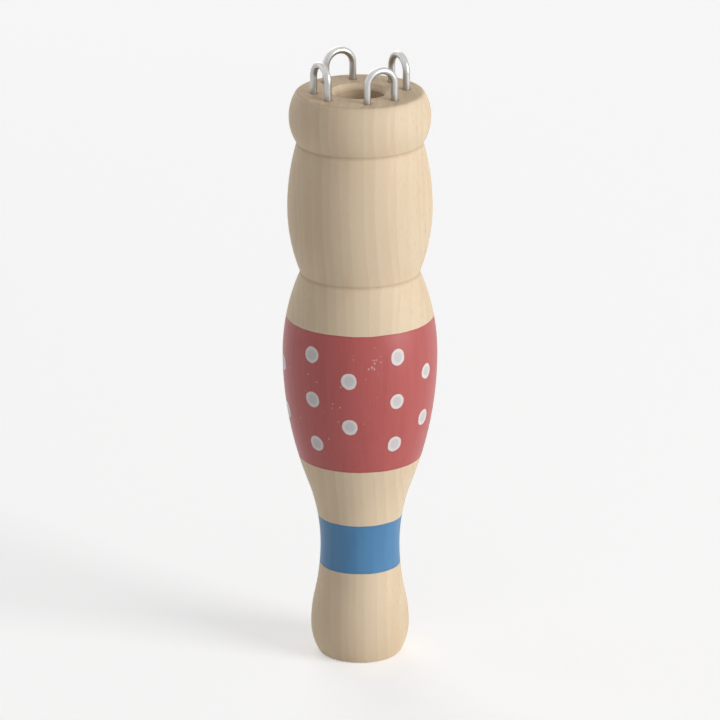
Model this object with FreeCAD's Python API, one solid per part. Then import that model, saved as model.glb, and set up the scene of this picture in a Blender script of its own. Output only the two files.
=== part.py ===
import FreeCAD
import Part
import math
import os

# Spool-knitting doll for making i-cord: a turned wooden body with a bore right through it, and four
# bent wire staples driven into its crown. Millimetres, +Z up, origin at the centre of the base, and
# the doll's front towards -Y.

# Driving dimensions: the turned body.
BODY_HEIGHT = 134.0         # base to crown face
BASE_RADIUS = 8.6           # flat of the base, inside its rounded edge
CROWN_RADIUS = 13.6         # flat of the crown, inside its rounded edge
EDGE_ROUNDING = 1.2         # crown edge and base edge
BORE_RADIUS = 5.5
BORE_CHAMFER = 1.2          # both mouths of the bore

# Crests and hollows of the outline from the base up, as (radius, height).
FOOT = (11.3, 7.0)
WAIST = (9.1, 26.3)
CHEST = (17.6, 72.4)
LOWER_GROOVE = (13.5, 91.9)
HEAD = (16.4, 107.0)
UPPER_GROOVE = (14.2, 122.3)
CROWN_BEAD = (16.0, 128.2)
WAIST_CURVE_BELOW = 54.0    # radius of the waist's hollow, towards the foot
WAIST_CURVE_ABOVE = 44.0    # radius of the waist's hollow, towards the chest

# Driving dimensions: the wire staples.
WIRE_RADIUS = 0.8
STAPLE_CIRCLE_RADIUS = 9.9  # doll's axis to the plane of each staple
STAPLE_SPAN = 6.8           # between the centrelines of its two legs
STAPLE_RISE = 8.0           # crown face to the top of the wire
LEG_DEPTH = 10.0            # crown face to the point of a leg, in the wood

STAPLE_NAMES = ["staple_right", "staple_back", "staple_left", "staple_front"]
ORIGIN = FreeCAD.Vector(0, 0, 0)
UP = FreeCAD.Vector(0, 0, 1)


def outline_point(radius, height):
    return FreeCAD.Vector(radius, 0, height)


def circle_point(centre, radius, angle):
    """Point of the outline on a circle, at an angle up from the level of its centre."""
    across = centre[0] + radius * math.cos(angle)
    return outline_point(across, centre[1] + radius * math.sin(angle))


def arc(centre, radius, start_angle, end_angle):
    middle_angle = (start_angle + end_angle) / 2
    angles = [start_angle, middle_angle, end_angle]
    return Part.Arc(*[circle_point(centre, radius, angle) for angle in angles]).toShape()


def crest_to_groove(crest, groove):
    """Arc from a crest, where the outline runs parallel to the axis, down into a V groove."""
    fall = crest[0] - groove[0]
    run = groove[1] - crest[1]
    curve = (fall ** 2 + run ** 2) / (2 * fall)
    centre = (crest[0] - curve, crest[1])
    return arc(centre, curve, 0, math.asin(run / curve))


def crest_to_flat(crest, flat_radius, flat_height):
    """Arc from a crest, then the small rounding that turns it into the flat end of the body."""
    side = math.copysign(1, flat_height - crest[1])
    rounding_centre = (flat_radius, flat_height - side * EDGE_ROUNDING)
    across = rounding_centre[0] - crest[0]
    along = rounding_centre[1] - crest[1]
    curve = (EDGE_ROUNDING ** 2 - across ** 2 - along ** 2) / (2 * (across + EDGE_ROUNDING))
    centre = (crest[0] - curve, crest[1])
    turn = math.atan2(along, across + curve)
    return [
        arc(centre, curve, 0, turn),
        arc(rounding_centre, EDGE_ROUNDING, turn, side * math.pi / 2),
    ]


def hollow_to_crest(hollow, crest, hollow_curve):
    """Two arcs in an S from a hollow to a crest, parallel to the axis at both and tangent between."""
    rise = crest[1] - hollow[1]
    side = math.copysign(1, rise)
    turn = 2 * math.atan2(crest[0] - hollow[0], abs(rise))
    crest_curve = abs(rise) / math.sin(turn) - hollow_curve
    hollow_centre = (hollow[0] + hollow_curve, hollow[1])
    crest_centre = (crest[0] - crest_curve, crest[1])
    return [
        arc(hollow_centre, hollow_curve, math.pi, math.pi - side * turn),
        arc(crest_centre, crest_curve, -side * turn, 0),
    ]


def turned_outline():
    """Closed half section of the body, before it is bored."""
    foot_end = ORIGIN
    crown_end = outline_point(0, BODY_HEIGHT)
    edges = crest_to_flat(FOOT, BASE_RADIUS, 0)
    edges += hollow_to_crest(WAIST, FOOT, WAIST_CURVE_BELOW)
    edges += hollow_to_crest(WAIST, CHEST, WAIST_CURVE_ABOVE)
    edges += [
        crest_to_groove(CHEST, LOWER_GROOVE),
        crest_to_groove(HEAD, LOWER_GROOVE),
        crest_to_groove(HEAD, UPPER_GROOVE),
        crest_to_groove(CROWN_BEAD, UPPER_GROOVE),
    ]
    edges += crest_to_flat(CROWN_BEAD, CROWN_RADIUS, BODY_HEIGHT)
    edges += [
        Part.makeLine(outline_point(CROWN_RADIUS, BODY_HEIGHT), crown_end),
        Part.makeLine(crown_end, foot_end),
        Part.makeLine(foot_end, outline_point(BASE_RADIUS, 0)),
    ]
    return Part.Wire(Part.__sortEdges__(edges))


def bore_tool():
    """Round bar as long as the body, flared at both ends to chamfer the mouths."""
    mouth_radius = BORE_RADIUS + BORE_CHAMFER
    bar = Part.makeCylinder(BORE_RADIUS, BODY_HEIGHT)
    foot_flare = Part.makeCone(mouth_radius, BORE_RADIUS, BORE_CHAMFER)
    crown_start = outline_point(0, BODY_HEIGHT - BORE_CHAMFER)
    crown_flare = Part.makeCone(BORE_RADIUS, mouth_radius, BORE_CHAMFER, crown_start)
    return bar.fuse([foot_flare, crown_flare])


def doll_body(staples):
    """Body turned from one piece of wood and bored, with the holes that the staple legs fill."""
    turned = Part.Face(turned_outline()).revolve(ORIGIN, UP, 360)
    return turned.cut([bore_tool()] + staples).Solids[0]


def staple_point(across, height):
    """Point in the plane of the staple on the doll's right."""
    return FreeCAD.Vector(STAPLE_CIRCLE_RADIUS, across, height)


def leg_end_cutter(tip_height):
    """Wedge under both legs: cutting it away slants their ends, with the points outermost."""
    inner = STAPLE_SPAN / 2 - WIRE_RADIUS
    bottom = STAPLE_SPAN / 2 + 2 * WIRE_RADIUS
    corners = [
        staple_point(-inner, tip_height + 2 * WIRE_RADIUS),
        staple_point(inner, tip_height + 2 * WIRE_RADIUS),
        staple_point(bottom, tip_height - WIRE_RADIUS),
        staple_point(-bottom, tip_height - WIRE_RADIUS),
    ]
    side = Part.Face(Part.makePolygon(corners + corners[:1]))
    side.translate(FreeCAD.Vector(-2 * WIRE_RADIUS, 0, 0))
    return side.extrude(FreeCAD.Vector(4 * WIRE_RADIUS, 0, 0))


def staple(turn):
    """One length of wire bent into an arch, both legs down in the crown, turned about the axis."""
    half_span = STAPLE_SPAN / 2
    tip_height = BODY_HEIGHT - LEG_DEPTH
    arch_height = BODY_HEIGHT + STAPLE_RISE - WIRE_RADIUS - half_span
    leg_start = staple_point(-half_span, tip_height - WIRE_RADIUS / 2)
    leg_finish = staple_point(half_span, tip_height - WIRE_RADIUS / 2)
    arch_start = staple_point(-half_span, arch_height)
    arch_finish = staple_point(half_span, arch_height)
    arch_top = staple_point(0, arch_height + half_span)
    path = Part.Wire([
        Part.makeLine(leg_start, arch_start),
        Part.Arc(arch_start, arch_top, arch_finish).toShape(),
        Part.makeLine(arch_finish, leg_finish),
    ])
    section = Part.Wire([Part.makeCircle(WIRE_RADIUS, leg_start, UP)])
    wire = path.makePipeShell([section], True, False)
    pointed = wire.cut(leg_end_cutter(tip_height)).Solids[0]
    return pointed.rotated(ORIGIN, UP, turn)


quarter_turns = [360 / len(STAPLE_NAMES) * number for number in range(len(STAPLE_NAMES))]
staples = [staple(turn) for turn in quarter_turns]
parts = dict(zip(STAPLE_NAMES, staples))
parts["doll_body"] = doll_body(staples)

os.makedirs("parts", exist_ok=True)
for name, solid in parts.items():
    solid.exportStep("parts/" + name + ".step")
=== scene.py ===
import math

import bpy
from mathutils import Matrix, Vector


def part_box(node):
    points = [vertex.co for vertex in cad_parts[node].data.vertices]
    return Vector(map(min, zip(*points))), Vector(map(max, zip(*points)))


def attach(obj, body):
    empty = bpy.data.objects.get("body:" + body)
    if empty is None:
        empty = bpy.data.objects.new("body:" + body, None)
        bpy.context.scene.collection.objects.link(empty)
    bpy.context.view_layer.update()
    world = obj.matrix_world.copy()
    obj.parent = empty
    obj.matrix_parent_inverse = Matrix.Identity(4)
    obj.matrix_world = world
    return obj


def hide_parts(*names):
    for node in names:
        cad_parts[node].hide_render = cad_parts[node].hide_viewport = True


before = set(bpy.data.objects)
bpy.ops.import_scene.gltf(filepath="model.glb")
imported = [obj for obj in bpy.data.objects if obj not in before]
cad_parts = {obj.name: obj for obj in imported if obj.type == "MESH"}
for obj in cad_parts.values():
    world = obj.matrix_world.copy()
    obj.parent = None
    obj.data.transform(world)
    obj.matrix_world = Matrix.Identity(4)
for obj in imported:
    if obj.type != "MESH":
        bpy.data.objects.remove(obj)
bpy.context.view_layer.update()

# Doll's body. One turning of pale beech, bored from the crown to the base for the finished cord. It is
# sanded on the lathe and left bare, but for a red and a blue band painted as it turned, and white dots
# dabbed on the red one. The holes in the crown take the legs of the staples.
MM = 0.001
BODY_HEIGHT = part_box("doll_body")[1].z / MM
EDGE_ROUNDING = 1.2
BASE_RADIUS = 8.6
CROWN_RADIUS = 13.6
BORE_RADIUS = 5.5
BORE_CHAMFER = 1.2
FOOT = (11.3, 7.0)
WAIST = (9.1, 26.3)
CHEST = (17.6, 72.4)
LOWER_GROOVE = (13.5, 91.9)
HEAD = (16.4, 107.0)
UPPER_GROOVE = (14.2, 122.3)
CROWN_BEAD = (16.0, 128.2)
WAIST_CURVE_BELOW = 54.0
WAIST_CURVE_ABOVE = 44.0
LATHE_RADIUS = 11.0
TURNED_STEPS = 256
OUTLINE_STEP = 0.6
ROUNDING_STEP = 0.24
CROWN_FACE_STEP = 0.25
BORE_STEP = 3.0
SHARP_EDGE = math.radians(28)

STAPLE_CIRCLE_RADIUS = 9.9
STAPLE_SPAN = 6.8
WIRE_RADIUS = 0.8
LEG_DEPTH = 10.0
HOLE_PLAY = 0.05
HOLE_SIDES = 48
SEAT_DEPTH = 0.16
SEAT_WIDTH = 0.75
FACE_MARGIN = 0.01

PITH = (-52.0, 22.0)
PITH_LEAN = (0.030, -0.022)
RING_WIDTH = 2.3
RING_DRIFT = 6.0
DRIFTS_PER_MM = (0.035, 0.035, 0.009)
RING_RIPPLE = 0.7
RIPPLES_PER_MM = (0.45, 0.45, 0.025)
UNEVEN_YEARS = 3.6
SEASONS_PER_MM = (0.22, 0, 0)
FIBRES_PER_MM = (3.2, 3.2, 0.10)
STREAKS_PER_MM = (0.42, 0.42, 0.012)
CLOUDS_PER_MM = (0.05, 0.05, 0.03)
RAYS_PER_MM = (2.9, 0.45, 0.50)
PORES_PER_MM = (3.5, 3.5, 0.5)
LATHE_LINES_PER_MM = (0.03, 0.03, 6.5)
FIBRE_RELIEF = 0.020
SANDING_RELIEF = 0.010
BORE_RELIEF = 0.05
RAY_DEPTH = 0.008
PORE_DEPTH = 0.05
BARE_ROUGHNESS = 0.56
RING_SHARE = 0.30
STREAK_SHARE = 0.50
CLOUD_SHARE = 0.22
FIBRE_SHARE = 0.22
FLECK_SHARE = 0.38
SILVER_SHARE = 0.30
LATHE_LINE_SHARE = 0.08
CUT_END_SHARE = 0.75
CUT_RING_SHARE = 0.60
PORE_SHARE = 0.45
BRUISE_SHARE = 0.55
# Painted shade with some dust in the grooves, and painted shade down the bore.
GROOVE_SHADE_AND_DUST_SHARE = 0.12
SHADE_AND_DUST_IN_FIBRE_SHARE = 0.35
BORE_SHADE_SHARE = 0.30
SAPWOOD = (0.800, 0.648, 0.462, 1)
LATEWOOD = (0.660, 0.460, 0.270, 1)
ROSY_WOOD = (0.770, 0.560, 0.390, 1)
RAY_BROWN = (0.470, 0.290, 0.165, 1)
RAY_SILVER = (0.840, 0.690, 0.500, 1)
END_GRAIN = (0.660, 0.490, 0.315, 1)
END_LATEWOOD = (0.470, 0.320, 0.190, 1)
# Dark brown for the crushed wood round the legs, and for the painted shade in the grooves and down the
# bore.
SHADE_DUST_AND_BRUISE_BROWN = (0.390, 0.275, 0.180, 1)
GROOVE_SHADE_AND_DUST_WIDTH = 0.75

RED_BAND = (48.3, 81.6)
BLUE_BAND = (21.9, 33.7)
BAND_WANDER = 0.42
WANDERS_PER_MM = (0.16, 0.16, 0.16)
PAINT_EDGE = 0.07
PAINT_BEAD = 0.35
BAND_THICKNESS = 0.045
BEAD_THICKNESS = 0.015
DOT_THICKNESS = 0.025
RIM_THICKNESS = 0.030
RIM_REACH = (1.05, 0.35)
GRAIN_FILLED = 0.55
PEEL_PER_MM = (1.1, 1.1, 0.7)
PEEL_RELIEF = 0.010
PAINT_ROUGHNESS = 0.36
PAINT_COAT = 0.15
COAT_ROUGHNESS = 0.22
RED_PAINT = (0.500, 0.105, 0.098, 1)
DEEP_RED = (0.385, 0.066, 0.064, 1)
BLUE_PAINT = (0.077, 0.245, 0.460, 1)
DEEP_BLUE = (0.050, 0.176, 0.368, 1)
WHITE_PAINT = (0.785, 0.742, 0.728, 1)
THIN_WHITE = (0.655, 0.612, 0.612, 1)
PINK_WHITE = (0.760, 0.560, 0.550, 1)
SPECK_SHARE = 0.55
SPLASH_SHARE = 0.46
DOT_COLUMNS = 10
FIRST_DOTS = math.radians(-89)
DOT_CREEP = math.radians(5.1)
PAIR_LAG = 0.13
TRIO_PITCH = 10.65
PAIR_PITCH = 11.3
DOT_MIDDLE = 65.6
DOT_RADIUS = 1.88
DOT_SLIP = 0.4
DOT_WOBBLE = 0.5
WOBBLES_PER_MM = (0.45, 0.45, 0.45)
DOT_GROWTH = 0.16
SPECKS_PER_MM = (0.85, 0.85, 0.85)
DROPS_PER_MM = (1.4, 1.4, 1.2)
SPLASH_TURN = math.radians(-107)
SPLASH_HEIGHT = 76.0
SPLASH_REACH = 2.7
SPLASH_STRETCH = (1, 1, 0.55)


class Socket:
    """One output of a node, so that sums with it are written as plain expressions."""

    def __init__(self, recipe, link):
        self.recipe = recipe
        self.link = link

    def math(self, operation, *others):
        return self.recipe.sum(operation, self, *others)

    def __add__(self, other):
        return self.math("ADD", other)

    def __sub__(self, other):
        return self.math("SUBTRACT", other)

    def __mul__(self, other):
        return self.math("MULTIPLY", other)

    def __truediv__(self, other):
        return self.math("DIVIDE", other)

    def __pow__(self, other):
        return self.math("POWER", other)

    def __rsub__(self, other):
        return self.recipe.sum("SUBTRACT", other, self)

    def __abs__(self):
        return self.math("ABSOLUTE")

    __radd__ = __add__

    def ramp(self, start, end):
        """Smooth climb from 0 at start to 1 at end."""
        limits = {"Value": self, "From Min": start, "From Max": end}
        return self.recipe.node("ShaderNodeMapRange", {"interpolation_type": "SMOOTHSTEP"}, limits)


class Recipe:
    """The nodes of one shape or one finish."""

    def __init__(self, tree):
        self.tree = tree

    def node(self, kind, settings=None, inputs=None, out=0):
        """Adds a node: its settings first, then the values or links of its inputs."""
        made = self.tree.nodes.new(kind)
        for name, value in (settings or {}).items():
            setattr(made, name, value)
        for key, value in (inputs or {}).items():
            several = value if isinstance(value, list) else [value]
            for one in several:
                if isinstance(one, Socket):
                    self.tree.links.new(one.link, made.inputs[key])
                else:
                    made.inputs[key].default_value = one
        return Socket(self, made.outputs[out]) if made.outputs else None

    def sum(self, operation, *values):
        return self.node("ShaderNodeMath", {"operation": operation}, dict(enumerate(values)))

    def scaled(self, vector, factors):
        """The vector with each of its parts multiplied by its own factor."""
        return self.node("ShaderNodeVectorMath", {"operation": "MULTIPLY"}, {0: vector, 1: factors})

    def split(self, vector):
        """The three parts of a vector."""
        return [self.node("ShaderNodeSeparateXYZ", None, {0: vector}, part) for part in range(3)]

    def blend(self, share, under, over):
        """Colour that goes from under to over as share goes from 0 to 1."""
        inputs = {0: share, 6: under, 7: over}
        return self.node("ShaderNodeMix", {"data_type": "RGBA"}, inputs, 2)

    def layered(self, colour, layers):
        """The colour with others laid over it in turn, each given with its share."""
        for share, over in layers:
            colour = self.blend(share, colour, over)
        return colour

    def noise(self, vector, factors, detail=2.0, roughness=0.5):
        """Noise from 0 to 1, with so many grains to the millimetre along each axis."""
        inputs = {"Vector": self.scaled(vector, factors), "Scale": 1.0}
        inputs |= {"Detail": detail, "Roughness": roughness}
        return self.node("ShaderNodeTexNoise", None, inputs)

    def place_in_mm(self):
        """The place on the piece, in millimetres."""
        return self.scaled(self.node("ShaderNodeTexCoord", out="Object"), (1000, 1000, 1000))

    def cells(self, vector, factors):
        """Cells, so many to the millimetre: distance from the nearest one's middle, and its luck."""
        inputs = {"Vector": self.scaled(vector, factors), "Scale": 1.0}
        middle = self.node("ShaderNodeTexVoronoi", None, inputs, "Distance")
        luck = self.split(self.node("ShaderNodeTexVoronoi", None, inputs, "Color"))[0]
        return middle, luck

    def bump(self, height, strength=1.0):
        """The way a surface faces when its relief has this height in millimetres."""
        inputs = {"Strength": strength, "Distance": MM, "Height": height}
        return self.node("ShaderNodeBump", None, inputs)

    def surface(self, inputs):
        """The last nodes of a finish."""
        shader = self.node("ShaderNodeBsdfPrincipled", None, inputs)
        self.node("ShaderNodeOutputMaterial", None, {"Surface": shader})

    def marked(self, shape, name, value, data_type):
        """The shape with a value kept on each of its points, for its finish to read."""
        settings = {"data_type": data_type, "domain": "POINT"}
        inputs = {"Geometry": shape, "Name": name, "Value": value}
        return self.node("GeometryNodeStoreNamedAttribute", settings, inputs)


def empty_finish(name):
    """New material without nodes."""
    material = bpy.data.materials.new(name)
    material.use_nodes = True
    material.node_tree.nodes.clear()
    return material


def shape_recipe(name, sizes):
    """Geometry recipe with a shape coming in and out, a finish, and the named sizes as inputs."""
    tree = bpy.data.node_groups.new(name, "GeometryNodeTree")
    tree.interface.new_socket("Shape", in_out="INPUT", socket_type="NodeSocketGeometry")
    tree.interface.new_socket("Finish", in_out="INPUT", socket_type="NodeSocketMaterial")
    for size, kind in sizes.items():
        tree.interface.new_socket(size, in_out="INPUT", socket_type="NodeSocket" + kind)
    tree.interface.new_socket("Shape", in_out="OUTPUT", socket_type="NodeSocketGeometry")
    recipe = Recipe(tree)
    given = tree.nodes.new("NodeGroupInput")
    return recipe, {output.name: Socket(recipe, output) for output in given.outputs if output.name}


def end_recipe(recipe, shape, finish):
    """The last nodes of a geometry recipe: real mesh, with its finish on it."""
    real = recipe.node("GeometryNodeRealizeInstances", None, {0: shape})
    finished = recipe.node("GeometryNodeSetMaterial", None, {"Geometry": real, "Material": finish})
    recipe.node("NodeGroupOutput", None, {0: finished})


def path_object(name, points, closed):
    """Curve through the points, which are in millimetres."""
    curve = bpy.data.curves.new(name, "CURVE")
    curve.dimensions = "3D"
    spline = curve.splines.new("POLY")
    spline.points.add(len(points) - 1)
    for target, point in zip(spline.points, points):
        target.co = (point[0] * MM, point[1] * MM, point[2] * MM, 1)
    spline.use_cyclic_u = closed
    made = bpy.data.objects.new(name, curve)
    bpy.context.scene.collection.objects.link(made)
    return made


def finished_piece(name, path, recipe, inputs):
    """Plain mesh of a recipe run on a path, smooth but for its sharp edges, at the origin."""
    modifier = path.modifiers.new(name, "NODES")
    modifier.node_group = recipe.tree
    for item in recipe.tree.interface.items_tree:
        if item.in_out == "INPUT" and item.name in inputs:
            modifier[item.identifier] = inputs[item.name]
    evaluated = path.evaluated_get(bpy.context.evaluated_depsgraph_get())
    mesh = bpy.data.meshes.new_from_object(evaluated)
    mesh.name = name
    mesh.shade_smooth()
    mesh.set_sharp_from_angle(angle=SHARP_EDGE)
    bpy.data.objects.remove(path)
    piece = bpy.data.objects.new(name, mesh)
    bpy.context.scene.collection.objects.link(piece)
    return piece


def arc(centre, radius, start, end, step=OUTLINE_STEP):
    """Points along an arc, as (radius, height), without the last."""
    count = max(3, math.ceil(radius * abs(end - start) / step))
    angles = [start + (end - start) * number / count for number in range(count)]
    return [(centre[0] + radius * math.cos(a), centre[1] + radius * math.sin(a)) for a in angles]


def line(start, end, step=OUTLINE_STEP):
    """Points along a straight run of the outline, without the last."""
    count = max(1, math.ceil(math.dist(start, end) / step))
    shares = [number / count for number in range(count)]
    return [tuple(a + (b - a) * share for a, b in zip(start, end)) for share in shares]


def flat_to_crest(crest, flat_radius, flat_height):
    """Rounded edge of a flat end, then the arc from it to the crest."""
    side = math.copysign(1, flat_height - crest[1])
    rounding_centre = (flat_radius, flat_height - side * EDGE_ROUNDING)
    across = rounding_centre[0] - crest[0]
    along = rounding_centre[1] - crest[1]
    curve = (EDGE_ROUNDING ** 2 - across ** 2 - along ** 2) / (2 * (across + EDGE_ROUNDING))
    turn = math.atan2(along, across + curve)
    rounding = arc(rounding_centre, EDGE_ROUNDING, side * math.pi / 2, turn, ROUNDING_STEP)
    return rounding + arc((crest[0] - curve, crest[1]), curve, turn, 0)


def hollow_to_crest(hollow, crest, hollow_curve):
    """Two arcs in an S, level with the axis at both ends."""
    rise = crest[1] - hollow[1]
    side = math.copysign(1, rise)
    turn = 2 * math.atan2(crest[0] - hollow[0], abs(rise))
    crest_curve = abs(rise) / math.sin(turn) - hollow_curve
    hollow_centre = (hollow[0] + hollow_curve, hollow[1])
    crest_centre = (crest[0] - crest_curve, crest[1])
    lower = arc(hollow_centre, hollow_curve, math.pi, math.pi - side * turn)
    return lower + arc(crest_centre, crest_curve, -side * turn, 0)


def crest_to_groove(crest, groove):
    """Arc from a crest into a V cut."""
    fall = crest[0] - groove[0]
    run = groove[1] - crest[1]
    curve = (fall ** 2 + run ** 2) / (2 * fall)
    return arc((crest[0] - curve, crest[1]), curve, 0, math.asin(run / curve))


def reversed_run(points, end):
    """The same run walked from its end, without its new last point."""
    return [end] + points[:0:-1]


def turned_outline():
    """Closed section of the body's wall, out along the base, up the outside and down the bore."""
    mouth = BORE_RADIUS + BORE_CHAMFER
    crown_edge = (CROWN_RADIUS, BODY_HEIGHT)
    run = line((mouth, 0), (BASE_RADIUS, 0))
    run += flat_to_crest(FOOT, BASE_RADIUS, 0)
    run += reversed_run(hollow_to_crest(WAIST, FOOT, WAIST_CURVE_BELOW), FOOT)
    run += hollow_to_crest(WAIST, CHEST, WAIST_CURVE_ABOVE)
    run += crest_to_groove(CHEST, LOWER_GROOVE)
    run += reversed_run(crest_to_groove(HEAD, LOWER_GROOVE), LOWER_GROOVE)
    run += crest_to_groove(HEAD, UPPER_GROOVE)
    run += reversed_run(crest_to_groove(CROWN_BEAD, UPPER_GROOVE), UPPER_GROOVE)
    run += reversed_run(flat_to_crest(CROWN_BEAD, CROWN_RADIUS, BODY_HEIGHT), CROWN_BEAD)
    run += line(crown_edge, (mouth, BODY_HEIGHT), CROWN_FACE_STEP)
    run += line((mouth, BODY_HEIGHT), (BORE_RADIUS, BODY_HEIGHT - BORE_CHAMFER))
    run += line((BORE_RADIUS, BODY_HEIGHT - BORE_CHAMFER), (BORE_RADIUS, BORE_CHAMFER), BORE_STEP)
    run += line((BORE_RADIUS, BORE_CHAMFER), (mouth, 0))
    return run


def nearest_leg(x, y, circle_radius, half_span):
    """Distance to the nearest of the eight staple legs, which repeat in every quarter."""
    outward = abs(x).math("MAXIMUM", abs(y)) - circle_radius
    sideways = abs(x).math("MINIMUM", abs(y)) - half_span
    return (outward * outward + sideways * sideways).math("SQRT")


def leg_drill(recipe, given, quarter, side):
    """Bar that bores the hole of one leg: on one side of the staple in one quarter of the crown."""
    size = {"Vertices": HOLE_SIDES, "Radius": given["Hole Radius"], "Depth": given["Hole Depth"] * 2}
    bar = recipe.node("GeometryNodeMeshCylinder", None, size)
    place = recipe.node("ShaderNodeCombineXYZ", None, {
        0: given["Leg Circle"],
        1: given["Leg Half Span"] * side,
        2: given["Crown Height"],
    })
    moved = recipe.node("GeometryNodeTransform", None, {"Geometry": bar, "Translation": place})
    turn = (0, 0, quarter * math.pi / 2)
    return recipe.node("GeometryNodeTransform", None, {"Geometry": moved, "Rotation": turn})


def lathe_recipe():
    """Turns an outline once round the axis, and bores and presses in the crown under each leg."""
    sizes = ["Lathe Radius", "Crown Height", "Leg Circle", "Leg Half Span", "Wire Radius"]
    sizes += ["Seat Width", "Seat Depth", "Hole Radius", "Hole Depth"]
    kinds = {"Steps": "Int"} | dict.fromkeys(sizes, "Float")
    recipe, given = shape_recipe("turned on the lathe", kinds)
    circle_inputs = {"Resolution": given["Steps"], "Radius": given["Lathe Radius"]}
    circle = recipe.node("GeometryNodeCurvePrimitiveCircle", None, circle_inputs)
    swept = recipe.node("GeometryNodeCurveToMesh", None, {0: circle, "Profile Curve": given["Shape"]})
    x, y, z = recipe.split(recipe.node("GeometryNodeInputPosition"))
    leg = nearest_leg(x, y, given["Leg Circle"], given["Leg Half Span"])
    pressed = leg.ramp(given["Wire Radius"] + given["Seat Width"], given["Wire Radius"])
    on_face = z.math("GREATER_THAN", given["Crown Height"] - FACE_MARGIN * MM)
    drop = pressed * pressed * on_face * given["Seat Depth"] * -1
    offset = recipe.node("ShaderNodeCombineXYZ", None, {2: drop})
    seated = recipe.node("GeometryNodeSetPosition", None, {"Geometry": swept, "Offset": offset})
    drills = [leg_drill(recipe, given, quarter, side) for quarter in range(4) for side in (-1, 1)]
    cut = {"operation": "DIFFERENCE", "solver": "MANIFOLD"}
    bored = recipe.node("GeometryNodeMeshBoolean", cut, {"Mesh 1": seated, "Mesh 2": drills})
    end_recipe(recipe, bored, given["Finish"])
    return recipe


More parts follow.
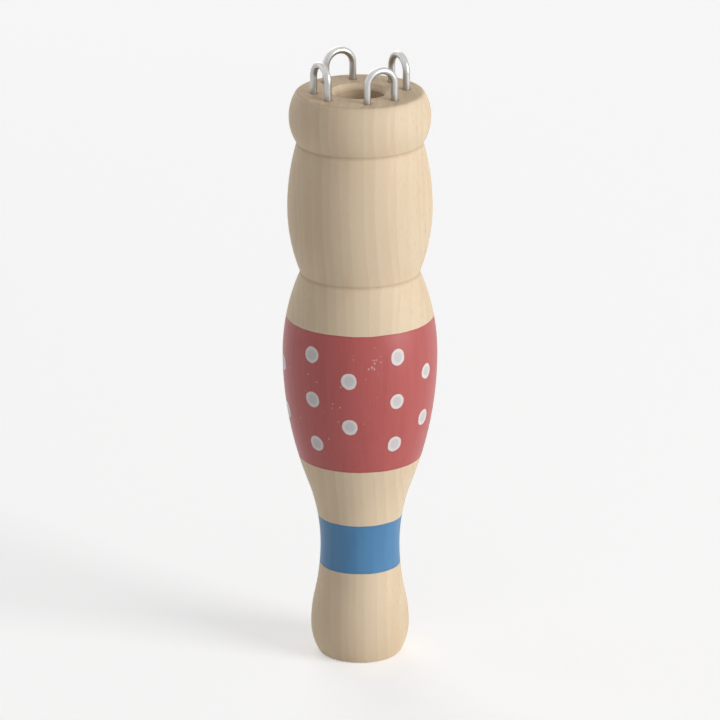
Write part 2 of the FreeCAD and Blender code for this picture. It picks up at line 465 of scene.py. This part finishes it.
class BodyFinish(Recipe):
    """The body's finish: what the wood is like at each place, and what is painted on it."""

    def __init__(self, tree):
        super().__init__(tree)
        self.mm = self.place_in_mm()
        self.x, self.y, self.z = self.split(self.mm)
        self.radius = (self.x * self.x + self.y * self.y).math("SQRT")
        self.outside = self.radius.ramp(BORE_RADIUS + 0.2, BORE_RADIUS + 0.6)
        self.facing = self.split(self.node("ShaderNodeNewGeometry", out="Normal"))
        past_bore = self.radius.ramp(BORE_RADIUS + 0.1, BORE_RADIUS + 0.3)
        self.cut_end = abs(self.facing[2]).ramp(0.75, 0.96) * past_bore
        self.fibre = self.noise(self.mm, FIBRES_PER_MM, 3.0, 0.6)
        self.streaks = self.noise(self.mm, STREAKS_PER_MM)
        self.clouds = self.noise(self.mm, CLOUDS_PER_MM)
        self.sanding = self.noise(self.mm, LATHE_LINES_PER_MM, 3.0, 0.7)
        self.pores = self.noise(self.mm, PORES_PER_MM).ramp(0.58, 0.72)
        across, along, distance = self.from_pith()
        self.rings = self.growth_rings(distance)
        self.flecks, self.silver = self.rays(across, along, distance)
        # Painted shade, with some dust, along the bottom of both V grooves.
        lower_cut = abs(self.z - LOWER_GROOVE[1]).ramp(GROOVE_SHADE_AND_DUST_WIDTH, 0.0)
        upper_cut = abs(self.z - UPPER_GROOVE[1]).ramp(GROOVE_SHADE_AND_DUST_WIDTH, 0.0)
        self.groove_shade_and_dust = (lower_cut + upper_cut) * self.outside

    def from_pith(self):
        """The place in the tree: across and along from the pith, and the distance from it."""
        across = self.x - PITH[0] + self.z * PITH_LEAN[0]
        along = self.y - PITH[1] + self.z * PITH_LEAN[1]
        return across, along, (across * across + along * along).math("SQRT")

    def growth_rings(self, distance):
        """Latewood from 0 to 1. It darkens outwards in each year's ring, and more in some years."""
        drift = self.noise(self.mm, DRIFTS_PER_MM, 1.0) * RING_DRIFT
        ripple = self.noise(self.mm, RIPPLES_PER_MM) * RING_RIPPLE
        reach = distance + drift + ripple
        reach_alone = self.node("ShaderNodeCombineXYZ", None, {0: reach})
        seasons = self.noise(reach_alone, SEASONS_PER_MM, 1.0)
        years = reach / RING_WIDTH + seasons * UNEVEN_YEARS
        year = years.math("FRACT")
        number = {"W": years.math("FLOOR")}
        vigour = self.node("ShaderNodeTexWhiteNoise", {"noise_dimensions": "1D"}, number)
        return year.ramp(0.15, 0.90) * year.ramp(1.0, 0.93) * (0.35 + vigour * 0.65)

    def rays(self, across, along, distance):
        """Thin upright plates out from the pith: dark where cut across, silver where laid bare."""
        round_pith = along.math("ARCTAN2", across) * math.hypot(*PITH)
        place = self.node("ShaderNodeCombineXYZ", None, {0: round_pith, 1: distance, 2: self.z})
        middle, luck = self.cells(place, RAYS_PER_MM)
        plates = middle.ramp(0.36, 0.18) * luck.ramp(0.52, 0.72)
        facing_x, facing_y, facing_z = self.facing
        cut_across = ((facing_x * across + facing_y * along) / distance) ** 2
        return plates * cut_across, plates * (1 - cut_across) * (1 - abs(facing_z))

    def side_grain(self):
        """Colour of the wood along the grain."""
        return self.layered(SAPWOOD, [
            (self.rings * RING_SHARE, LATEWOOD),
            (self.streaks.ramp(0.48, 0.80) * STREAK_SHARE, ROSY_WOOD),
            (self.clouds.ramp(0.45, 0.75) * CLOUD_SHARE, LATEWOOD),
            (self.fibre.ramp(0.45, 0.85) * FIBRE_SHARE, LATEWOOD),
            (self.flecks * FLECK_SHARE, RAY_BROWN),
            (self.silver * SILVER_SHARE, RAY_SILVER),
            (self.sanding.ramp(0.55, 0.80) * LATHE_LINE_SHARE, LATEWOOD),
        ])

    def end_grain(self):
        """Colour of the wood on the crown and the base, where the grain is cut across."""
        return self.layered(END_GRAIN, [
            (self.rings * CUT_RING_SHARE, END_LATEWOOD),
            (self.pores * PORE_SHARE, RAY_BROWN),
        ])

    def bare_wood(self):
        """Colour of all the wood: darker round the staple legs where the fibres are crushed, with
        painted shade and dust in the grooves and painted shade down the bore.
        """
        leg = nearest_leg(self.x, self.y, STAPLE_CIRCLE_RADIUS, STAPLE_SPAN / 2)
        bruised = leg.ramp(WIRE_RADIUS + SEAT_WIDTH, WIRE_RADIUS) * self.cut_end
        return self.layered(self.side_grain(), [
            (self.cut_end * CUT_END_SHARE, self.end_grain()),
            (bruised * BRUISE_SHARE, SHADE_DUST_AND_BRUISE_BROWN),
            # Painted shade with some dust in the grooves.
            (self.groove_shade_and_dust * (GROOVE_SHADE_AND_DUST_SHARE + self.fibre * SHADE_AND_DUST_IN_FIBRE_SHARE), SHADE_DUST_AND_BRUISE_BROWN),
            # Painted shade down the bore.
            ((1 - self.outside) * BORE_SHADE_SHARE, SHADE_DUST_AND_BRUISE_BROWN),
        ])

    def wood_height(self):
        """Relief of the wood: raised fibre and tool marks, with the rays and the pores sunk in it."""
        tooled = self.sanding * (SANDING_RELIEF + (1 - self.outside) * BORE_RELIEF)
        raised = self.fibre * FIBRE_RELIEF + tooled
        return raised - self.flecks * RAY_DEPTH - self.pores * self.cut_end * PORE_DEPTH

    def wood_roughness(self):
        """Roughness of the wood, more where it is cut across or in the grooves, where dust lies, and
        less on the hard latewood.
        """
        worn = BARE_ROUGHNESS + self.fibre * 0.10
        return worn + self.cut_end * 0.12 + self.groove_shade_and_dust * 0.10 - self.rings * 0.05

    def paint_roughness(self):
        """Roughness of the paint, a little uneven where the wood shows through."""
        return PAINT_ROUGHNESS + self.fibre * 0.12 + self.sanding * 0.06

    def band(self, limits, wander):
        """1 on a painted band, whose edges wander, and 1 on the bead of paint along both its edges."""
        level = self.z + wander
        whole = between(level, limits[0], limits[1]) * self.outside
        middle = between(level, limits[0] + PAINT_BEAD, limits[1] - PAINT_BEAD) * self.outside
        return whole, whole - middle

    def band_paint(self, bead, colour, deep_colour):
        """Colour of a band, deeper where the wood soaks it up and where it lies thick in a bead."""
        soaked = self.fibre.ramp(0.40, 0.85) * 0.35 + self.streaks.ramp(0.4, 0.75) * 0.30
        return self.blend(soaked + bead * 0.30, colour, deep_colour)

    def dot_distance(self):
        """Distance to the nearest dot: columns of three and of two by turns, not quite even."""
        column_pitch = 2 * math.pi / DOT_COLUMNS
        turn = self.y.math("ARCTAN2", self.x) - FIRST_DOTS
        columns = (turn + turn.math("SINE") * DOT_CREEP) / column_pitch
        column = columns.math("ROUND")
        pair = (column / 2).math("FRACT") * 2
        row_pitch = TRIO_PITCH + pair * (PAIR_PITCH - TRIO_PITCH)
        level = (self.z - DOT_MIDDLE) / row_pitch - pair / 2
        row = level.math("ROUND").math("MAXIMUM", -1.0).math("MINIMUM", 1.0 - pair)
        place = self.node("ShaderNodeCombineXYZ", None, {0: column, 1: row})
        slips = self.split(self.node("ShaderNodeTexWhiteNoise", None, {"Vector": place}, "Color"))
        off_column = columns - column + pair * PAIR_LAG
        across = off_column * column_pitch * self.radius + (slips[0] - 0.5) * DOT_SLIP
        along = (level - row) * row_pitch + (slips[1] - 0.5) * DOT_SLIP
        wobble = (self.noise(self.mm, WOBBLES_PER_MM) - 0.5) * DOT_WOBBLE
        return (across * across + along * along).math("SQRT") + wobble + (slips[2] - 0.5) * DOT_GROWTH

    def dots(self, band):
        """1 on the dots of a band, 1 on their thick rims, and their colour, thin in the middle."""
        centre = self.dot_distance()
        dot = centre.ramp(DOT_RADIUS + PAINT_EDGE, DOT_RADIUS - PAINT_EDGE) * band
        rim = centre.ramp(DOT_RADIUS - RIM_REACH[0], DOT_RADIUS - RIM_REACH[1]) * dot
        return dot, rim, self.layered(THIN_WHITE, [
            (rim, WHITE_PAINT),
            (centre.ramp(DOT_RADIUS - 0.2, DOT_RADIUS + 0.05), PINK_WHITE),
        ])

    def specks(self):
        """1 on a few specks of the dots' paint, which lie thicker in some places than in others."""
        middle, luck = self.cells(self.mm, SPECKS_PER_MM)
        return middle.ramp(0.20, 0.12) * luck.ramp(0.84, 0.90) * self.clouds.ramp(0.42, 0.58)

    def splash(self):
        """1 on the drops of one splash of the dots' paint: more and larger towards its middle."""
        side = (CHEST[0] * math.cos(SPLASH_TURN), CHEST[0] * math.sin(SPLASH_TURN))
        middle = (*side, SPLASH_HEIGHT * SPLASH_STRETCH[2])
        places = {0: self.scaled(self.mm, SPLASH_STRETCH), 1: middle}
        away = self.node("ShaderNodeVectorMath", {"operation": "DISTANCE"}, places, "Value")
        drop, luck = self.cells(self.mm, DROPS_PER_MM)
        size = luck + away.ramp(SPLASH_REACH, 0.0) * 0.9 - 1
        return (drop - size * 0.30).ramp(0.32, 0.20) * size.ramp(0.0, 0.1)


def between(level, low, high):
    """1 between two heights, each with the edge that wet paint leaves."""
    above = level.ramp(low - PAINT_EDGE, low + PAINT_EDGE)
    return above * level.ramp(high + PAINT_EDGE, high - PAINT_EDGE)


def write_body_finish(finish):
    """Bare beech, the two bands over it, and the specks, the splash and the dots over the red one."""
    wander = (finish.noise(finish.mm, WANDERS_PER_MM, 3.0, 0.6) - 0.5) * BAND_WANDER
    red, red_bead = finish.band(RED_BAND, wander)
    blue, blue_bead = finish.band(BLUE_BAND, wander)
    painted = red.math("MAXIMUM", blue)
    dot, rim, dot_paint = finish.dots(red)
    colour = finish.layered(finish.bare_wood(), [
        (red, finish.band_paint(red_bead, RED_PAINT, DEEP_RED)),
        (finish.specks() * red * SPECK_SHARE, PINK_WHITE),
        (finish.splash() * red * SPLASH_SHARE, PINK_WHITE),
        (dot, dot_paint),
        (blue, finish.band_paint(blue_bead, BLUE_PAINT, DEEP_BLUE)),
    ])
    coats = painted * BAND_THICKNESS + (red_bead + blue_bead) * BEAD_THICKNESS
    paint_height = coats + dot * DOT_THICKNESS + rim * RIM_THICKNESS
    peel = finish.noise(finish.mm, PEEL_PER_MM) * painted * PEEL_RELIEF
    height = finish.wood_height() * (1 - painted * GRAIN_FILLED) + paint_height + peel
    finish.surface({
        "Base Color": colour,
        "Roughness": finish.wood_roughness() * (1 - painted) + finish.paint_roughness() * painted,
        "Normal": finish.bump(height),
        "Coat Weight": painted * PAINT_COAT,
        "Coat Roughness": COAT_ROUGHNESS,
        "IOR": 1.46,
    })


body_finish = empty_finish("bare and painted beech")
write_body_finish(BodyFinish(body_finish.node_tree))
# The lathe carries the section round a circle, so its points are measured from that circle.
section = [(radius - LATHE_RADIUS, -height, 0) for radius, height in reversed(turned_outline())]
body = finished_piece("turned_body", path_object("outline", section, True), lathe_recipe(), {
    "Finish": body_finish,
    "Steps": TURNED_STEPS,
    "Lathe Radius": LATHE_RADIUS * MM,
    "Crown Height": BODY_HEIGHT * MM,
    "Leg Circle": STAPLE_CIRCLE_RADIUS * MM,
    "Leg Half Span": STAPLE_SPAN / 2 * MM,
    "Wire Radius": WIRE_RADIUS * MM,
    "Seat Width": SEAT_WIDTH * MM,
    "Seat Depth": SEAT_DEPTH * MM,
    "Hole Radius": (WIRE_RADIUS + HOLE_PLAY) * MM,
    "Hole Depth": (LEG_DEPTH + HOLE_PLAY) * MM,
})
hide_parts("doll_body")
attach(body, "root")

# Staples. Four lengths of bright drawn steel wire, each bent over a former into an arch, cut off
# aslant and driven into the crown beside the bore. No two of them stand quite alike.
STAPLE_NAMES = ["staple_right", "staple_back", "staple_left", "staple_front"]
STAPLE_RISE = 8.0
WIRE_STEPS = 40
ARCH_STEPS = 40
STAPLE_TWISTS = [0.7, -0.5, 0.4, -0.8]
STAPLE_SETTLING = [0.05, 0.16, 0.02, 0.10]
LINE_SHARE = 0.6
SMEAR_SHARE = 0.35
DARK_FOOT_SHARE = 0.5
BRIGHT_STEEL = (0.56, 0.555, 0.545, 1)
DRAWN_LINE = (0.39, 0.385, 0.375, 1)
FINGER_MARK = (0.44, 0.415, 0.38, 1)
# Darker, browner steel over the last few millimetres of each leg above the crown.
DARK_FOOT = (0.30, 0.26, 0.22, 1)
DARK_FOOT_HEIGHT = 1.6
LINES_PER_MM = (14, 14, 0.16)
SMEARS_PER_MM = (1.6, 1.6, 0.7)
LINE_RELIEF = 0.012
WIRE_ROUGHNESS = 0.20


def wire_path(rise):
    """Centreline of a staple on the doll's right: up a leg, over the arch and down."""
    half_span = STAPLE_SPAN / 2
    tip = BODY_HEIGHT - LEG_DEPTH + WIRE_RADIUS
    arch_height = BODY_HEIGHT + rise - WIRE_RADIUS - half_span
    turns = [math.pi - math.pi * number / ARCH_STEPS for number in range(ARCH_STEPS + 1)]
    arch = [(half_span * math.cos(turn), arch_height + half_span * math.sin(turn)) for turn in turns]
    first_leg = [(-half_span, tip), (-half_span, tip + 2 * WIRE_RADIUS)]
    second_leg = [(half_span, tip + 2 * WIRE_RADIUS), (half_span, tip)]
    return [(0, across, up) for across, up in [*first_leg, *arch, *second_leg]]


def wire_recipe():
    """Round wire along a path, cut off aslant, moved to its place and turned about the doll's axis."""
    sizes = ["Wire Radius", "Half Span", "Tip Height", "Circle", "Twist", "Turn"]
    recipe, given = shape_recipe("bent wire", {"Steps": "Int"} | dict.fromkeys(sizes, "Float"))
    circle_inputs = {"Resolution": given["Steps"], "Radius": given["Wire Radius"]}
    circle = recipe.node("GeometryNodeCurvePrimitiveCircle", None, circle_inputs)
    around = recipe.node("GeometryNodeInputPosition")
    travelled = recipe.node("GeometryNodeSplineParameter", None, None, "Length")
    marked_circle = recipe.marked(circle, "around", around, "FLOAT_VECTOR")
    marked_path = recipe.marked(given["Shape"], "travelled", travelled, "FLOAT")
    inputs = {0: marked_path, "Profile Curve": marked_circle, "Fill Caps": True}
    wire = recipe.node("GeometryNodeCurveToMesh", None, inputs)
    across, height = recipe.split(recipe.node("GeometryNodeInputPosition"))[1:]
    at_end = height.math("LESS_THAN", given["Tip Height"] + given["Wire Radius"] / 2)
    slant = recipe.node("ShaderNodeCombineXYZ", None, {2: given["Half Span"] - abs(across)})
    inputs = {"Geometry": wire, "Selection": at_end, "Offset": slant}
    pointed = recipe.node("GeometryNodeSetPosition", None, inputs)
    twist = recipe.node("ShaderNodeCombineXYZ", None, {2: given["Twist"]})
    twisted = recipe.node("GeometryNodeTransform", None, {"Geometry": pointed, "Rotation": twist})
    out = recipe.node("ShaderNodeCombineXYZ", None, {0: given["Circle"]})
    moved = recipe.node("GeometryNodeTransform", None, {"Geometry": twisted, "Translation": out})
    turn = recipe.node("ShaderNodeCombineXYZ", None, {2: given["Turn"]})
    turned = recipe.node("GeometryNodeTransform", None, {"Geometry": moved, "Rotation": turn})
    end_recipe(recipe, turned, given["Finish"])
    return recipe


def write_wire_finish(finish):
    """Drawn steel: fine lines along the wire, finger marks, and darker, browner and rougher towards the
    crown.
    """
    around = finish.node("ShaderNodeAttribute", {"attribute_name": "around"}, None, "Vector")
    travelled = finish.node("ShaderNodeAttribute", {"attribute_name": "travelled"}, None, "Fac")
    around_x, around_y = finish.split(around)[:2]
    along = finish.node("ShaderNodeCombineXYZ", None, {0: around_x, 1: around_y, 2: travelled})
    along_mm = finish.scaled(along, (1000, 1000, 1000))
    drawn = finish.noise(along_mm, LINES_PER_MM, 3.0, 0.65)
    smears = finish.noise(along_mm, SMEARS_PER_MM)
    # The wire grows darker, browner and rougher towards the crown.
    low = finish.split(finish.place_in_mm())[2].ramp(BODY_HEIGHT + DARK_FOOT_HEIGHT, BODY_HEIGHT)
    finish.surface({
        "Base Color": finish.layered(BRIGHT_STEEL, [
            (drawn.ramp(0.35, 0.75) * LINE_SHARE, DRAWN_LINE),
            (smears.ramp(0.50, 0.75) * SMEAR_SHARE, FINGER_MARK),
            (low * DARK_FOOT_SHARE, DARK_FOOT),
        ]),
        "Metallic": 1.0,
        "Roughness": WIRE_ROUGHNESS + drawn * 0.16 + smears * 0.12 + low * 0.15,
        "Normal": finish.bump(drawn * LINE_RELIEF),
    })


wire_finish = empty_finish("drawn steel wire")
write_wire_finish(Recipe(wire_finish.node_tree))
bent_wire = wire_recipe()
for number, node in enumerate(STAPLE_NAMES):
    path = path_object("wire path", wire_path(STAPLE_RISE - STAPLE_SETTLING[number]), False)
    staple = finished_piece("wire_" + node, path, bent_wire, {
        "Finish": wire_finish,
        "Wire Radius": WIRE_RADIUS * MM,
        "Steps": WIRE_STEPS,
        "Half Span": STAPLE_SPAN / 2 * MM,
        "Tip Height": (BODY_HEIGHT - LEG_DEPTH + WIRE_RADIUS) * MM,
        "Circle": STAPLE_CIRCLE_RADIUS * MM,
        "Twist": math.radians(STAPLE_TWISTS[number]),
        "Turn": 2 * math.pi / len(STAPLE_NAMES) * number,
    })
    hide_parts(node)
    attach(staple, "root")

# Table top. A wide pale sheet of matt paper that the doll stands on and throws its soft shadow on. It
# is lit by the lamps and glows a little in sight of the camera, so that it stays pale.
TABLE_HALF_WIDTH = 3.0
TABLE_COLOUR = (0.80, 0.80, 0.80, 1)
TABLE_GLOW = (0.40, 0.40, 0.40, 1)
PAPER_GRAINS_PER_MM = (0.9, 0.9, 0.9)
PAPER_RELIEF = 0.05


def in_sight(recipe):
    """1 for a ray that shows a surface, straight or in a shine, and 0 for one that lights with it."""
    rays = ["Is Camera Ray", "Is Glossy Ray", "Is Transmission Ray"]
    seen, shiny, through = [recipe.node("ShaderNodeLightPath", out=ray) for ray in rays]
    return seen.math("MAXIMUM", shiny).math("MAXIMUM", through)


table_mesh = bpy.data.meshes.new("table_top")
corners = [(-1, -1), (1, -1), (1, 1), (-1, 1)]
table_points = [(x * TABLE_HALF_WIDTH, y * TABLE_HALF_WIDTH, 0) for x, y in corners]
table_mesh.from_pydata(table_points, [], [(0, 1, 2, 3)])
table = bpy.data.objects.new("table_top", table_mesh)
bpy.context.scene.collection.objects.link(table)
table_finish = empty_finish("pale matt sheet")
paper = Recipe(table_finish.node_tree)
tooth = paper.noise(paper.place_in_mm(), PAPER_GRAINS_PER_MM, 3.0) * PAPER_RELIEF
paper.surface({
    "Base Color": TABLE_COLOUR,
    "Roughness": 0.9,
    "Normal": paper.bump(tooth, 0.2),
    "Emission Color": paper.blend(in_sight(paper), (0, 0, 0, 1), TABLE_GLOW),
    "Emission Strength": 1.0,
})
table_mesh.materials.append(table_finish)

# Light. A large soft key on the doll's front right, weaker lamps above, behind and on its left, and the
# even light of a pale room, which shows at full strength only in sight and in shines.
LIGHT_TARGET = Vector((0, 0, BODY_HEIGHT / 2 * MM))
ROOM_STRENGTH = 0.24


def soft_light(name, azimuth, elevation, distance, size, power):
    """Square area light that faces the doll from a direction given in degrees."""
    turn = math.radians(azimuth)
    lift = math.radians(elevation)
    away = Vector((math.sin(turn) * math.cos(lift), -math.cos(turn) * math.cos(lift), math.sin(lift)))
    lamp = bpy.data.lights.new(name, "AREA")
    lamp.shape = "SQUARE"
    lamp.size = size
    lamp.energy = power
    light = bpy.data.objects.new(name, lamp)
    light.location = LIGHT_TARGET + away * distance
    light.rotation_mode = "QUATERNION"
    light.rotation_quaternion = away.to_track_quat("Z", "Y")
    bpy.context.scene.collection.objects.link(light)


soft_light("key", azimuth=34, elevation=16, distance=2.2, size=1.10, power=34)
soft_light("fill", azimuth=-130, elevation=15, distance=2.4, size=1.60, power=4.5)
soft_light("top", azimuth=-28, elevation=75, distance=2.4, size=1.80, power=4.0)
soft_light("back", azimuth=165, elevation=25, distance=2.4, size=1.60, power=14)

room = bpy.data.worlds.new("pale room")
bpy.context.scene.world = room
room.use_nodes = True
room.node_tree.nodes.clear()
air = Recipe(room.node_tree)
strength = in_sight(air) * (1 - ROOM_STRENGTH) + ROOM_STRENGTH
glow = air.node("ShaderNodeBackground", None, {"Color": (1, 1, 1, 1), "Strength": strength})
air.node("ShaderNodeOutputWorld", None, {"Surface": glow})

# Camera. It looks down a little at the doll from its front left, through a long lens, so that the
# doll's sides stay nearly upright.
CAMERA_AZIMUTH = math.radians(-28)
CAMERA_ELEVATION = math.radians(18.7)
CAMERA_DISTANCE = 1.205
CAMERA_TARGET = Vector((0, 0, 0.0705))
LENS = 265

camera_data = bpy.data.cameras.new("camera")
camera_data.lens = LENS
camera_data.clip_start = 0.05
camera = bpy.data.objects.new("camera", camera_data)
camera_back = Vector((
    math.sin(CAMERA_AZIMUTH) * math.cos(CAMERA_ELEVATION),
    -math.cos(CAMERA_AZIMUTH) * math.cos(CAMERA_ELEVATION),
    math.sin(CAMERA_ELEVATION),
))
camera.location = CAMERA_TARGET + camera_back * CAMERA_DISTANCE
camera.rotation_mode = "QUATERNION"
camera.rotation_quaternion = camera_back.to_track_quat("Z", "Y")
bpy.context.scene.collection.objects.link(camera)
bpy.context.scene.camera = camera
bpy.context.scene.view_settings.view_transform = "Standard"
